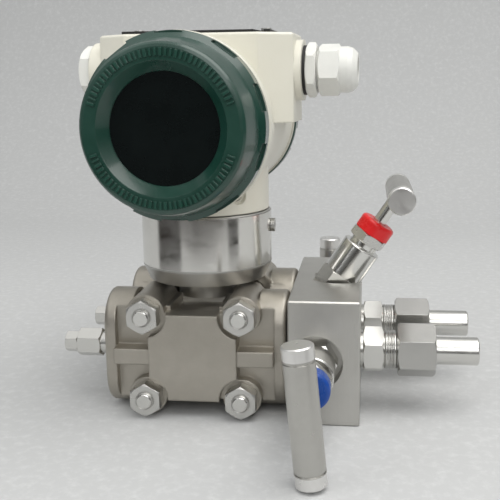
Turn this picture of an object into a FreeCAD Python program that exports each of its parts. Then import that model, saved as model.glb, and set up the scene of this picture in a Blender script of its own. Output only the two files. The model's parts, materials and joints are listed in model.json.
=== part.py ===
import FreeCAD, Part
import math
import os
import re
import Sketcher

# Differential pressure transmitter on a three-valve manifold, in millimetres.
# Origin: centre of the manifold block's underside. +X runs from the transmitter to the impulse tubes,
# +Y runs to the low pressure side at the back, +Z is up. The rest pose has both isolating valves open
# and the equalizing valve closed.

SIZES = {
    # manifold block
    "block_width": 39.6, "block_depth": 112, "block_height": 71, "block_edge": 0.8,
    "port_spacing": 54, "port_height": 35.5, "port_radius": 3.5, "cross_bore": 2.5, "seal_gap": 1.5,
    # screws that hold the block to the flanges, on the standard 54 by 41.3 pattern
    "bracket_span": 41.3, "bracket_radius": 5, "bracket_depth": 14, "tap_radius": 4.25,
    "socket_head_radius": 8, "socket_head_height": 10, "socket_key": 8, "socket_sink": 0.6,
    # process flanges
    "flange_half_length": 52.5, "web_thickness": 30, "boss_thickness": 36, "plate_thickness": 41,
    "web_half_height": 27.5, "web_waist_height": 22, "waist_half_width": 14,
    "pad_width": 39, "pad_height": 68, "pad_reach": 16, "pad_rim": 7, "pad_round": 2.5,
    "plate_half": 25, "spot_radius": 12.5, "boss_radius": 11, "bridge_half_width": 4.5, "bridge_step": 1,
    "chamber_radius": 16.5, "chamber_depth": 2, "gasket_groove": 1.6,
    "flange_port_radius": 6.6, "flange_port_depth": 18, "seal_radius": 12, "seal_sink": 2, "seal_bore": 7.5,
    # bolts through both flanges
    "bolt_span_x": 54.6, "bolt_span_z": 48.4, "bolt_radius": 5, "bolt_key": 17,
    "bolt_head_height": 6.4, "nut_height": 8.4, "bolt_stick_out": 2.2,
    # sensor capsule and its neck
    "capsule_width": 24, "capsule_radius": 30.5, "diaphragm_radius": 16, "diaphragm_thickness": 0.5,
    "gasket_radius": 19, "gasket_half_width": 1.3,
    "stem_foot_radius": 11.5, "stem_neck_radius": 18, "stem_neck_height": 61,
    "collar_bottom": 72.5, "collar_foot_radius": 35.6, "collar_foot_height": 8.5, "collar_radius": 38.4,
    "collar_top": 113, "collar_cavity_radius": 33, "collar_floor": 87, "collar_deck": 109,
    "tube_radius": 22, "tube_top": 130, "tube_bore": 12,
    "band_bottom": 82, "band_top": 112, "band_thickness": 0.6, "band_gap": 5, "lock_screw_height": 103,
    "lock_screw_radius": 2.2, "lock_screw_length": 6, "lock_screw_head": 2.4, "lock_screw_head_radius": 4,
    "lock_screw_key": 2.5,
    # vent valves
    "vent_spigot_length": 14, "vent_seat": 2.4, "vent_neck_radius": 6.5, "vent_neck_length": 7,
    "vent_key": 15, "vent_hex_length": 14,
    "vent_bore": 3.6, "vent_plug_key": 11, "vent_plug_length": 7.5, "vent_plug_gap": 0.6,
    "vent_seat_bore": 1.8, "vent_ball_radius": 2.6, "weep_radius": 1, "weep_place": 5,
    # tube fittings
    "adapter_collar": 1.6, "adapter_key": 24, "adapter_hex": 11.5, "adapter_neck_radius": 10.8,
    "adapter_spigot_radius": 9.5, "adapter_spigot_length": 14,
    "union_key": 27, "union_length": 21.3, "union_gap": 8, "union_wall": 4.5, "fitting_phase": 4,
    "nipple_radius": 8, "nipple_guide": 8.4, "nipple_land": 1, "nipple_bore": 6, "nipple_end": 86.5,
    "nipple_collar": 10.4, "nipple_collar_length": 6,
    # needle valves: lengths run outward from the floor of the pocket that the bonnet is screwed into
    "valve_offset": 5, "valve_height": 36, "valve_tilt": 34, "tilted_seat_x": 2, "pocket_depth": 9,
    "pocket_radius": 15.5, "bonnet_key": 22, "bonnet_hex": 12.5, "bonnet_radius": 11.75,
    "bonnet_length": 32.5,
    "bonnet_neck_radius": 8.5, "bonnet_neck": 3.5, "spigot_radius": 9, "spigot_length": 12,
    "screw_radius": 5.2, "screw_chamber": 22, "packing_bore": 6.5, "packing_start": 24, "packing_length": 7,
    "packing_key": 20, "packing_nut_height": 6, "cap_radius": 10.7, "cap_height": 8.4, "cap_round": 2,
    "valve_stem_radius": 4, "screw_foot": 8, "screw_length": 18, "tip_radius": 3, "tip_length": 9,
    "tip_point": 3.5, "tip_flat": 0.75, "tip_shank_radius": 2, "tip_shank": 6, "seat_depth": 18.6,
    "handle_height": 71.1, "handle_radius": 7.8, "handle_length": 69, "handle_end": 7, "handle_groove": 0.5,
    "handle_bite": 3, "handle_lean": 5.4, "open_lift": 8,
    # electronics housing, measured from the neck axis and turned a little on its neck
    "housing_turn": 3, "barrel_height": 165, "barrel_radius": 45.6, "barrel_front": 57, "barrel_back": 54,
    "rim_radius": 49.6, "rim_length": 6.5, "rim_slope": 2, "back_rim_radius": 46.4,
    "back_rim_length": 5, "chamber_bore": 40.2,
    "wall_front": 24, "wall_back": 16, "housing_neck_radius": 37.6, "neck_gap": 0.6, "neck_bore_height": 136,
    "top_height": 214.5, "top_half_length": 56, "top_half_depth": 28, "top_end_depth": 17, "top_flat": 38,
    "top_edge": 1.2, "conduit_drop": 20.5, "conduit_radius": 17.2, "conduit_right": 60, "conduit_left": 64,
    "conduit_bore": 10, "conduit_depth": 34,
    "set_angle": 44, "set_height": 124, "set_radius": 3, "set_length": 10, "set_recess": 4.6,
    "set_recess_depth": 2.6, "set_key": 3,
    # screwed covers
    "cover_gap": 0.3, "cover_depth": 29, "cover_rim": 10, "cover_rim_radius": 49.2, "cover_radius": 45.8,
    "cover_step": 2.6, "cover_nose_radius": 43, "cover_round": 3, "skirt_length": 10, "cover_bore": 35.6,
    "bevel_radius": 33.6, "window_radius": 28.5, "lip_depth": 6.5, "glass_thickness": 6, "retainer_width": 4,
    "retainer_length": 4, "notch_count": 10, "notch_angle": 17, "notch_depth": 1.7, "notch_length": 5.5,
    "back_cover_rim_radius": 47.4, "back_cover_depth": 17, "back_cover_floor": 4,
    "ring_radius": 42.4, "ring_thickness": 0.95,
    "groove_half_width": 1.25, "groove_depth": 1.95,
    # inside the housing
    "display_radius": 33.4, "display_depth": 30, "screen_width": 46, "screen_height": 28,
    "screen_sink": 1, "display_bezel": 4, "board_radius": 28, "board_disc": 33,
    "board_thickness": 4, "post_radius": 12, "post_length": 8, "terminal_length": 46, "terminal_height": 24,
    "terminal_depth": 12, "terminal_step": 5, "terminal_centre": 158, "terminal_screw_radius": 3.2,
    "terminal_pitch": 14,
    # zero and span buttons under the top plate
    "plate_gap": 0.1, "plate_length": 86, "plate_width": 38, "plate_corner": 3, "plate_sheet": 1,
    "gasket_sheet": 0.8, "plate_screw_offset": 38,
    "plate_screw_radius": 1.5, "plate_screw_head": 3, "plate_screw_head_height": 1.4, "plate_screw_depth": 8,
    "plate_screw_slot": 0.8, "button_offset": 12, "button_head_radius": 5, "button_head_height": 1.6,
    "button_travel": 1.8, "button_stem_radius": 3.2, "button_length": 12, "button_window": 7,
    # conduit plug and cable gland
    "plug_collar": 1, "plug_collar_radius": 12, "plug_key": 27, "plug_hex": 6.5, "entry_thread_length": 11,
    "washer_radius": 14, "washer_thickness": 1.7, "gland_key": 27, "gland_hex": 6, "gland_neck_radius": 10.8,
    "gland_neck_length": 9, "gland_gap": 1.2, "gland_nut_key": 26, "gland_nut_hex": 12,
    "gland_nut_length": 22,
    "gland_nut_radius": 13, "gland_dome": 5.5, "gland_mouth": 7, "cable_seal_radius": 8.6,
    "cable_radius": 4.5,
    "cable_seal_start": 5, "cable_seal_length": 15, "gland_bore": 5.5,
    # shared clearances and chamfers
    "fit_gap": 0.05, "moving_gap": 0.3, "hex_chamfer": 1.1, "small_chamfer": 0.6,
}

# Places and sums that several pieces share, written as formulas of the sizes.
PLACES = {
    "neck_x": "-(block_width / 2 + seal_gap + flange_half_length)",
    "port_y": "port_spacing / 2",
    "capsule_face": "capsule_width / 2",
    "boss_face": "capsule_face + boss_thickness",
    "tilted_seat_z": "block_height - pocket_depth * cos(valve_tilt)",
    "bonnet_top": "bonnet_length + bonnet_neck",
    "cap_foot": "bonnet_top + packing_nut_height",
    "hole_radius": "bracket_radius + moving_gap",
    "band_outer": "collar_radius + fit_gap + band_thickness",
    "front_plane": "barrel_front + cover_gap",
    "back_plane": "barrel_back + cover_gap",
    "pad_rise": "(pad_height - pad_width) / 2",
    "union_start": "adapter_collar + adapter_hex + union_gap",
    "union_end": "union_start + union_length",
    "adapter_end": "union_end - union_wall - nipple_collar_length",
    "washer_face": "conduit_right + washer_thickness",
    "gland_shoulder": "washer_face + gland_hex",
    "gland_nut_foot": "gland_shoulder + gland_gap",
    "skirt_radius": "chamber_bore - moving_gap",
    "entry_thread": "conduit_bore - fit_gap",
    "vent_face": "vent_neck_length + vent_hex_length",
    "stem_foot": "vent_seat + 2 * vent_ball_radius + 2 * moving_gap",
    "plate_foot": "top_height + gasket_sheet + plate_gap",
    "plate_top": "plate_foot + plate_sheet",
    "screw_seat": "plate_top + plate_gap",
    "button_foot": "top_height - button_head_height",
    "conduit_height": "top_height - conduit_drop",
    "cable_seal_foot": "gland_shoulder + cable_seal_start",
    "cable_seal_end": "cable_seal_foot + cable_seal_length",
}

ALONG = {"+x": ((0, 1, 0), "90"), "-x": ((0, 1, 0), "-90"), "+y": ((1, 0, 0), "-90"),
         "-y": ((1, 0, 0), "90"), "+z": None, "-z": ((1, 0, 0), "180")}

DOC = FreeCAD.newDocument("pressure_transmitter")
SHEET = DOC.addObject("Spreadsheet::Sheet", "Sizes")
NODES = {}


def fill_sheet():
    """Name, number and alias of every driving size, one a row."""
    for row, (name, size) in enumerate(SIZES.items(), 1):
        SHEET.set(f"A{row}", name)
        SHEET.set(f"B{row}", str(size))
        SHEET.setAlias(f"B{row}", name)
    DOC.recompute()


def rule(text):
    """Spell out a formula of size and place names so that it reads the sheet."""
    def word(match):
        name = match.group()
        if name in PLACES:
            return "(" + rule(PLACES[name]) + ")"
        return "Sizes." + name if name in SIZES else name
    return re.sub(r"[a-z_]+", word, str(text))


def value(text):
    """The number that a formula gives with the sizes in the sheet."""
    return float(SHEET.evalExpression(rule(text)))


def vector(place):
    return FreeCAD.Vector(*(value(part) for part in place))


def bind_place(thing, prefix, place, turn):
    """Bind the base of a placement, and its angle if it is turned, to formulas."""
    if turn:
        axis, angle = turn
        rotation = FreeCAD.Rotation(FreeCAD.Vector(*axis), value(angle))
    else:
        rotation = FreeCAD.Rotation()
    setattr(thing, prefix, FreeCAD.Placement(vector(place), rotation))
    for letter, part in zip("xyz", place):
        thing.setExpression(f"{prefix}.Base.{letter}", rule(part))
    if turn and turn[1].lstrip("-").isdigit() is False:
        thing.setExpression(f"{prefix}.Rotation.Angle", rule(turn[1]))


class Piece:
    """One PartDesign body. Its features are sketched on the body's own origin planes."""

    def __init__(self, label, place=("0", "0", "0"), turn=None, keep=True):
        self.body = DOC.addObject("PartDesign::Body", label)
        self.body.Label = label
        bind_place(self.body, "Placement", place, turn)
        if keep:
            NODES[label] = self.body

    def sketch(self, plane, shift=("0", "0", "0"), turn=None):
        """Empty sketch on the XY, XZ or YZ plane, moved by shift in the sketch's own axes."""
        sketch = self.body.newObject("Sketcher::SketchObject", "Sketch")
        planes = [feature for feature in self.body.Origin.OriginFeatures if feature.Role == plane + "_Plane"]
        sketch.AttachmentSupport = [(planes[0], "")]
        sketch.MapMode = "FlatFace"
        bind_place(sketch, "AttachmentOffset", shift, turn)
        return sketch

    def feature(self, kind, sketch, **settings):
        feature = self.body.newObject("PartDesign::" + kind, kind)
        feature.Profile = sketch
        for name, setting in settings.items():
            if isinstance(setting, str) and name in ("Length", "Angle"):
                feature.setExpression(name, rule(setting))
            else:
                setattr(feature, name, setting)
        return feature

    def turned(self, corners, axis="z", shift="0", swing=None, cut=False, angle="360"):
        """Revolve an outline of (radius, along) corners about the body's x, y or z axis.

        The axis is raised by shift. A level one lies flat at that height and is swung about z.
        """
        plane, line = {"z": ("XZ", "V_Axis"), "y": ("YZ", "H_Axis"), "x": ("XZ", "H_Axis"),
                       "level": ("XY", "H_Axis")}[axis]
        sketch = self.sketch(plane, ("0", "0", shift) if axis == "level" else ("0", shift, "0"), swing)
        polygon(sketch, corners if axis == "z" else [(along, radius) for radius, along in corners])
        kind = "Groove" if cut else "Revolution"
        return self.feature(kind, sketch, ReferenceAxis=(sketch, [line]), Angle=angle)

    def prism(self, plane, drawers, low, high, cut=False, rise="0"):
        """Pad or pocket outlines, raised in their plane, between two levels along its normal."""
        sketch = self.sketch(plane, ("0", rise, low))
        for draw in drawers:
            draw(sketch)
        kind = "Pocket" if cut else "Pad"
        return self.feature(kind, sketch, Length=f"({high}) - ({low})", Reversed=cut)

    def repeat_round(self, feature, count):
        """Repeat a feature round the normal through its sketch's origin."""
        DOC.recompute()
        pattern = self.body.newObject("PartDesign::PolarPattern", "PolarPattern")
        pattern.Originals = [feature]
        pattern.Axis = (feature.Profile[0], ["N_Axis"])
        pattern.Angle = 360
        pattern.setExpression("Occurrences", rule(count))
        self.body.Tip = pattern

    def rod(self, radius, length, place, along="+z", cut=False, turn=None):
        """Cylinder that starts at a place and runs along an axis; with cut it is a drilled hole."""
        kind = "SubtractiveCylinder" if cut else "AdditiveCylinder"
        cylinder = self.body.newObject("PartDesign::" + kind, kind)
        cylinder.setExpression("Radius", rule(radius))
        cylinder.setExpression("Height", rule(length))
        bind_place(cylinder, "Placement", place, turn or ALONG[along])

    def drill(self, radius, length, place, along="+z", turn=None):
        self.rod(radius, length, place, along, cut=True, turn=turn)

    def dress(self, kind, size, test):
        """Fillet or chamfer every edge that passes the test."""
        DOC.recompute()
        base = self.body.Tip
        edges = [f"Edge{i}" for i, edge in enumerate(base.Shape.Edges, 1) if test(edge)]
        dressed = self.body.newObject("PartDesign::" + kind, kind)
        dressed.Base = (base, edges)
        dressed.setExpression("Radius" if kind == "Fillet" else "Size", rule(size))


def polygon(sketch, corners):
    """Closed straight-sided outline; every corner is a pair of formulas."""
    points = [FreeCAD.Vector(value(x), value(y), 0) for x, y in corners]
    first = sketch.GeometryCount
    count = len(points)
    for i, point in enumerate(points):
        sketch.addGeometry(Part.LineSegment(point, points[(i + 1) % count]))
    for i, (point, (x, y)) in enumerate(zip(points, corners)):
        side = first + i
        sketch.addConstraint(Sketcher.Constraint("Coincident", side, 2, first + (i + 1) % count, 1))
        bind_point(sketch, side, 1, point, x, y)


def bind_point(sketch, side, end, point, x, y):
    """Tie one point of a side to two formulas."""
    for kind, number, text in (("DistanceX", point.x, x), ("DistanceY", point.y, y)):
        index = sketch.addConstraint(Sketcher.Constraint(kind, -1, 1, side, end, number))
        sketch.setExpression(f"Constraints[{index}]", rule(text))


def disc(x, y, radius):
    """Drawer of a circle."""
    def draw(sketch):
        centre = FreeCAD.Vector(value(x), value(y), 0)
        circle = sketch.addGeometry(Part.Circle(centre, FreeCAD.Vector(0, 0, 1), value(radius)))
        bind_point(sketch, circle, 3, centre, x, y)
        index = sketch.addConstraint(Sketcher.Constraint("Radius", circle, value(radius)))
        sketch.setExpression(f"Constraints[{index}]", rule(radius))
    return draw


def box(x_low, x_high, y_low, y_high):
    """Drawer of a rectangle."""
    corners = [(x_low, y_low), (x_high, y_low), (x_high, y_high), (x_low, y_high)]
    return lambda sketch: polygon(sketch, corners)


def hexagon(across, phase="0", x="0", y="0"):
    """Drawer of a hexagon with a corner on the first axis, turned by phase degrees."""
    corners = [(f"{x} + {across} / sqrt(3) * cos({60 * i} + {phase})",
                f"{y} + {across} / sqrt(3) * sin({60 * i} + {phase})") for i in range(6)]
    return lambda sketch: polygon(sketch, corners)


def stadium(x, y, rise, radius):
    """Drawer of an upright slot outline: two half circles, rise above and below the centre."""
    def draw(sketch):
        normal = FreeCAD.Vector(0, 0, 1)
        centre_x, centre_y, up, r = value(x), value(y), value(rise), value(radius)
        centres = [FreeCAD.Vector(centre_x, centre_y + up, 0), FreeCAD.Vector(centre_x, centre_y - up, 0)]
        arcs = [sketch.addGeometry(Part.ArcOfCircle(Part.Circle(centre, normal, r), start, start + math.pi))
                for centre, start in zip(centres, (0, math.pi))]
        side = FreeCAD.Vector(r, 0, 0)
        left = sketch.addGeometry(Part.LineSegment(centres[0] - side, centres[1] - side))
        right = sketch.addGeometry(Part.LineSegment(centres[1] + side, centres[0] + side))
        for joint in ((arcs[0], 2, left, 1), (left, 2, arcs[1], 1), (arcs[1], 2, right, 1),
                      (right, 2, arcs[0], 1)):
            sketch.addConstraint(Sketcher.Constraint("Tangent", *joint))
        for arc, centre, text in zip(arcs, centres, (f"{y} + {rise}", f"{y} - ({rise})")):
            bind_point(sketch, arc, 3, centre, x, text)
        sketch.addConstraint(Sketcher.Constraint("Equal", arcs[0], arcs[1]))
        index = sketch.addConstraint(Sketcher.Constraint("Radius", arcs[0], r))
        sketch.setExpression(f"Constraints[{index}]", rule(radius))
    return draw


def corner_cut(across, low, high, ends):
    """Outlines of the cone cuts that take the corners off a hexagon's ends."""
    reach = f"{across} / sqrt(3) + 1"
    edge = f"{across} / 2"
    slope = f"({reach} - {edge}) * tan(30)"
    cuts = {"low": [(edge, low), (reach, low), (reach, f"{low} + {slope}")],
            "high": [(edge, high), (reach, high), (reach, f"{high} - {slope}")]}
    return [cuts[end] for end in ends]


def hex_bar(piece, across, low, high, axis="z", phase="0", ends=("low", "high")):
    """Hexagonal length of bar along an axis, with turned corners at the named ends."""
    plane = {"z": "XY", "x": "YZ"}[axis]
    piece.prism(plane, [hexagon(across, phase)], low, high)
    for outline in corner_cut(across, low, high, ends):
        piece.turned(outline, axis=axis, cut=True)


def group(label, pieces):
    """One node of several like solids that stand apart."""
    compound = DOC.addObject("Part::Compound", label)
    compound.Label = label
    compound.Links = [piece.body for piece in pieces]
    NODES[label] = compound


SIDES = {"front": "-1", "rear": "1"}


# ---- manifold block and what bolts it on ----

def manifold_block():
    block = Piece("manifold_block")
    half, deep = "block_width / 2", "block_depth / 2"
    block.prism("XY", [box(f"-{half}", half, f"-{deep}", deep)], "0", "block_height")
    block.dress("Chamfer", "block_edge", lambda edge: edge.BoundBox.DiagonalLength > value("block_width") - 1)
    for side in SIDES.values():
        y = f"{side} * port_y"
        block.drill("port_radius", "block_width + 2", (f"-{half} - 1", y, "port_height"), "+x")
        block.drill("adapter_spigot_radius + fit_gap", "adapter_spigot_length",
                    (half, y, "port_height"), "-x")
        for sign in "+-":
            z = f"port_height {sign} bracket_span / 2"
            block.drill("hole_radius", "block_width + 2", (f"-{half} - 1", y, z), "+x")
            block.drill("socket_head_radius + moving_gap", "socket_head_height + socket_sink",
                        (half, y, z), "-x")
    for way in VALVES.values():
        pocket_and_seat(block, way)


def pocket_and_seat(block, way):
    """Counterbore for the bonnet, threaded bore under it and the narrow bore that ends at the seat."""
    block.drill("pocket_radius", "2 * pocket_depth", valve_place(way, "0"), turn=way["turn"])
    block.drill("spigot_radius + fit_gap", "spigot_length + 1", valve_place(way, "-spigot_length"),
                turn=way["turn"])
    block.drill("tip_radius + moving_gap", "seat_depth", valve_place(way, "-seat_depth"), turn=way["turn"])


def bracket_screws():
    screws = []
    for side in SIDES.values():
        for sign in "+-":
            face = "block_width / 2 - socket_sink"
            screw = Piece("bracket_screw", (face, f"{side} * port_y", f"port_height {sign} bracket_span / 2"),
                          ALONG["-x"], keep=False)
            reach = "block_width - socket_sink + seal_gap + bracket_depth"
            screw.turned([("0", "0"), ("socket_head_radius - small_chamfer", "0"),
                          ("socket_head_radius", "small_chamfer"),
                          ("socket_head_radius", "socket_head_height"),
                          ("bracket_radius", "socket_head_height"), ("bracket_radius", reach), ("0", reach)])
            screw.prism("XY", [hexagon("socket_key")], "0", "socket_head_height / 2", cut=True)
            screws.append(screw)
    group("bracket_screws", screws)


# ---- process flanges, capsule and the bolts through them ----

def process_flange(label, turn, block_end):
    """Cast flange: end pads, webs, four bolt bosses and a raised plate bitten by the spot faces."""
    flange = Piece(label, ("neck_x", "0", "port_height"), turn)
    web_face, plate_face = "capsule_face + web_thickness", "capsule_face + plate_thickness"
    wide, tall = "flange_half_length - pad_rim", "web_half_height"
    waist, low = "waist_half_width", "web_waist_height"
    right = [(waist, f"-{low}"), (waist, f"-{tall}"), (wide, f"-{tall}"), (wide, tall), (waist, tall),
             (waist, low)]
    left = [(f"-({x})", y) for x, y in reversed(right)]
    flange.prism("XZ", [lambda sketch: polygon(sketch, right + left)], "capsule_face", web_face)
    for low_x, high_x in ends("flange_half_length - pad_reach", "flange_half_length"):
        flange.prism("YZ", [stadium("-port_y", "0", "pad_rise", "pad_width / 2")], low_x, high_x)
    end = value("flange_half_length")
    flange.dress("Fillet", "pad_round", lambda edge: abs(abs(edge.CenterOfMass.x) - end) < 0.01)
    for low_x, high_x in ends("flange_half_length - pad_reach - 1", wide):
        flange.prism("XZ", [box(low_x, high_x, f"-{tall}", tall)], web_face, f"{web_face} + pad_width",
                     cut=True)
    bolts = [(f"{i} * bolt_span_x / 2", f"{k} * bolt_span_z / 2") for i in (-1, 1) for k in (-1, 1)]
    for x, z in bolts:
        flange.prism("XZ", [disc(x, z, "boss_radius")], "capsule_face", "boss_face")
    flange.prism("XZ", [box("-plate_half", "plate_half", "-plate_half", "plate_half")],
                 f"{web_face} - bridge_step", plate_face)
    flange.prism("XZ", [box(f"-({wide})", wide, "-bridge_half_width", "bridge_half_width")],
                 f"{web_face} - bridge_step", f"{plate_face} - bridge_step")
    for x, z in bolts:
        flange.prism("XZ", [disc(x, z, "spot_radius")], "boss_face", f"{plate_face} + 1", cut=True)
        flange.prism("XZ", [disc(x, z, "hole_radius")], "capsule_face - 1", "boss_face + 1", cut=True)
    flange_ports(flange, block_end)
    flange_chamber(flange)


def ends(low, high):
    """The same span along X at the right and the left end."""
    return (low, high), (f"-({high})", f"-({low})")


def flange_ports(flange, block_end):
    """Port, seal seat and two screw holes in each end, only tapped at the free end, and the bore between."""
    for way, face in (("-x", "flange_half_length"), ("+x", "-flange_half_length")):
        flange.drill("flange_port_radius", "flange_port_depth", (face, "-port_y", "0"), way)
        flange.drill("seal_radius + fit_gap", "seal_sink", (face, "-port_y", "0"), way)
        hole = "bracket_radius + fit_gap" if face == block_end else "tap_radius"
        for sign in "+-":
            flange.drill(hole, "bracket_depth + 1",
                         (face, "-port_y", f"{sign}bracket_span / 2"), way)
    flange.drill("port_radius", "2 * flange_half_length", ("-flange_half_length", "-port_y", "0"), "+x")


def flange_chamber(flange):
    """Shallow chamber over the diaphragm, its bore to the ports and the gasket groove."""
    flange.drill("chamber_radius", "chamber_depth", ("0", "-capsule_face", "0"), "-y")
    flange.drill("cross_bore", "port_y - capsule_face", ("0", "-capsule_face", "0"), "-y")
    inner, outer = "gasket_radius - gasket_half_width", "gasket_radius + gasket_half_width"
    near, deep = "-capsule_face + 1", "-capsule_face - gasket_groove"
    flange.turned([(inner, near), (outer, near), (outer, deep), (inner, deep)], axis="y", cut=True)


def sensor_body():
    """Welded capsule, neck and instrument collar; the collar is hollow for the sensor electronics."""
    body = Piece("sensor_body", ("neck_x", "0", "0"))
    shoulder = "collar_bottom + collar_foot_height"
    body.turned([("0", "port_height"), ("stem_foot_radius", "port_height"),
                 ("stem_foot_radius", "stem_neck_height"), ("stem_neck_radius", "stem_neck_height"),
                 ("stem_neck_radius", "collar_bottom"), ("collar_foot_radius", "collar_bottom"),
                 ("band_outer", shoulder), ("band_outer", "band_bottom"), ("collar_radius", "band_bottom"),
                 ("collar_radius", "collar_top - small_chamfer"),
                 ("collar_radius - small_chamfer", "collar_top"),
                 ("tube_radius", "collar_top"), ("tube_radius", "tube_top"), ("tube_bore", "tube_top"),
                 ("tube_bore", "collar_deck"), ("collar_cavity_radius", "collar_deck"),
                 ("collar_cavity_radius", "collar_floor"), ("0", "collar_floor")])
    body.turned([("0", "-capsule_face"), ("capsule_radius", "-capsule_face"),
                 ("capsule_radius", "capsule_face"), ("0", "capsule_face")], axis="y", shift="port_height")
    body.drill("lock_screw_radius + fit_gap", "band_outer - collar_cavity_radius + 1",
               ("collar_cavity_radius - 1", "0", "lock_screw_height"), "+x")


def nameplate_band():
    band = Piece("nameplate_band", ("neck_x", "0", "0"))
    inner = "collar_radius + fit_gap"
    band.turned([(inner, "band_bottom"), ("band_outer", "band_bottom"),
                 ("band_outer", "band_top"), (inner, "band_top")])
    band.prism("XY", [box("-band_gap / 2", "band_gap / 2", "collar_radius / 2", "band_outer + 1")],
               "band_bottom - 1", "band_top + 1", cut=True)
    band.drill("lock_screw_radius + fit_gap", "band_outer", ("collar_radius / 2", "0", "lock_screw_height"),
               "+x")
    screw = Piece("band_screw", ("neck_x + band_outer + lock_screw_head", "0", "lock_screw_height"),
                  ALONG["-x"])
    screw.rod("lock_screw_radius", "lock_screw_head + lock_screw_length", ("0", "0", "0"))
    screw.rod("lock_screw_head_radius", "lock_screw_head", ("0", "0", "0"))
    screw.prism("XY", [hexagon("lock_screw_key")], "0", "lock_screw_head / 2", cut=True)


def capsule_trim():
    """Diaphragm discs on both faces of the capsule and the flat gaskets round them."""
    discs, gaskets = [], []
    for side in SIDES.values():
        face = f"{side} * capsule_face"
        lid = Piece("diaphragm", ("neck_x", face, "port_height"), ALONG["-y" if side == "-1" else "+y"],
                    keep=False)
        lid.rod("diaphragm_radius", "diaphragm_thickness", ("0", "0", "0"))
        discs.append(lid)
        ring = Piece("gasket", ("neck_x", face, "port_height"), ALONG["-y" if side == "-1" else "+y"],
                     keep=False)
        inner = "gasket_radius - gasket_half_width + fit_gap"
        outer = "gasket_radius + gasket_half_width - fit_gap"
        ring.turned([(inner, "0"), (outer, "0"), (outer, "gasket_groove"), (inner, "gasket_groove")])
        gaskets.append(ring)
    group("diaphragms", discs)
    group("capsule_gaskets", gaskets)


def flange_bolting():
    """Four hexagon bolts from the back and their nuts at the front."""
    bolts, nuts = [], []
    for i in (-1, 1):
        for k in (-1, 1):
            place = (f"neck_x + {i} * bolt_span_x / 2", "0", f"port_height + {k} * bolt_span_z / 2")
            bolt = Piece("flange_bolt", place, ALONG["-y"], keep=False)
            hex_bar(bolt, "bolt_key", "-boss_face - bolt_head_height", "-boss_face", ends=("low",))
            tip = "boss_face + nut_height + bolt_stick_out"
            bolt.turned([("0", "-boss_face"), ("bolt_radius", "-boss_face"),
                         ("bolt_radius", f"{tip} - hex_chamfer"),
                         ("bolt_radius - hex_chamfer", tip), ("0", tip)])
            bolts.append(bolt)
            nut = Piece("flange_nut", place, ALONG["-y"], keep=False)
            hex_bar(nut, "bolt_key", "boss_face", "boss_face + nut_height", phase="30")
            nut.drill("bolt_radius + fit_gap", "nut_height + 2", ("0", "0", "boss_face - 1"))
            nuts.append(nut)
    group("flange_bolts", bolts)
    group("flange_nuts", nuts)


def port_seals():
    """Plastic rings squeezed between the flange ports and the block."""
    seals = []
    for side in SIDES.values():
        seal = Piece("port_seal", ("neck_x + flange_half_length - seal_sink", f"{side} * port_y",
                                   "port_height"),
                     keep=False)
        thick = "seal_sink + seal_gap"
        seal.turned([("seal_bore", "0"), ("seal_radius", "0"), ("seal_radius", thick),
                     ("seal_bore", thick)], axis="x")
        seals.append(seal)
    group("port_seals", seals)


# ---- vent valves at the left end ----

def vent_valve(name, side):
    """Vent body screwed into the flange's end, its ball and the plug whose stem holds the ball down."""
    place = ("neck_x - flange_half_length", f"{side} * port_y", "port_height")
    body = Piece(f"{name}_vent_body", place, ALONG["-x"])
    foot, thread = "-vent_spigot_length", "flange_port_radius - fit_gap"
    hex_bar(body, "vent_key", "vent_neck_length", "vent_face")
    body.turned([("0", foot), (thread, foot), (thread, "0"), ("vent_neck_radius", "0"),
                 ("vent_neck_radius", "vent_neck_length + 1"), ("0", "vent_neck_length + 1")])
    body.drill("vent_bore", "vent_face - vent_seat + 1", ("0", "0", "vent_seat"))
    body.drill("vent_seat_bore", "vent_spigot_length + vent_seat + 1", ("0", "0", f"{foot} - 1"))
    body.drill("weep_radius", "vent_key", ("0", "0", "vent_neck_length + weep_place"), "-x")
    plug = Piece(f"{name}_vent_plug", place, ALONG["-x"])
    key_foot = "vent_face + vent_plug_gap"
    hex_bar(plug, "vent_plug_key", key_foot, f"{key_foot} + vent_plug_length")
    plug.rod("vent_bore - moving_gap", f"{key_foot} - stem_foot + 1", ("0", "0", "stem_foot"))
    ball = DOC.addObject("Part::Sphere", f"{name}_vent_ball")
    ball.Label = f"{name}_vent_ball"
    ball.setExpression("Radius", rule("vent_ball_radius"))
    reach = "vent_seat + vent_ball_radius + moving_gap"
    bind_place(ball, "Placement", (f"{place[0]} - ({reach})", place[1], place[2]), None)
    NODES[ball.Label] = ball


# ---- tube fittings at the right end ----

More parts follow.
